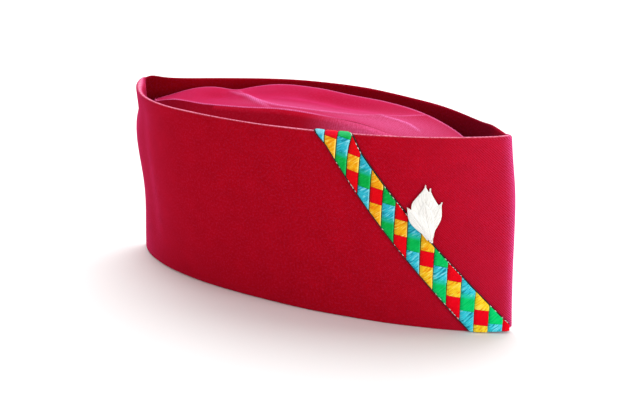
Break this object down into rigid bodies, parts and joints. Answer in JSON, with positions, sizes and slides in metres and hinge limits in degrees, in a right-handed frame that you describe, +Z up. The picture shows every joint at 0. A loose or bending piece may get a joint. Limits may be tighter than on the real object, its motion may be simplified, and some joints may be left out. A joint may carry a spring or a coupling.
{
  "type": "kullu cap",
  "caption": "Boat-shaped woollen hill cap: an upright turned-up band round a soft creased crown, with a slanted plaited ribbon and a small flower badge on one side.",
  "frame": {"origin": "middle of the cap's box, on the surface that its hem stands on", "axes": "+X to the cap's pointed front, +Y to the wearer's left, +Z up"},
  "size_m": [0.2718, 0.1155, 0.111],
  "materials": {
    "band_twill": "fine crimson wool twill with a short nap",
    "crown_twill": "soft crimson wool twill with a pink sheen",
    "plaited_satin": "satin thread plaited in red, yellow, blue and green",
    "white_badge": "white embroidered cloth"
  },
  "bodies": {
    "root": {"band": "band_twill", "crown_side": "crown_twill", "crown_top": "crown_twill", "braid": "plaited_satin", "flower_badge": "white_badge"}
  },
  "joints": []
}
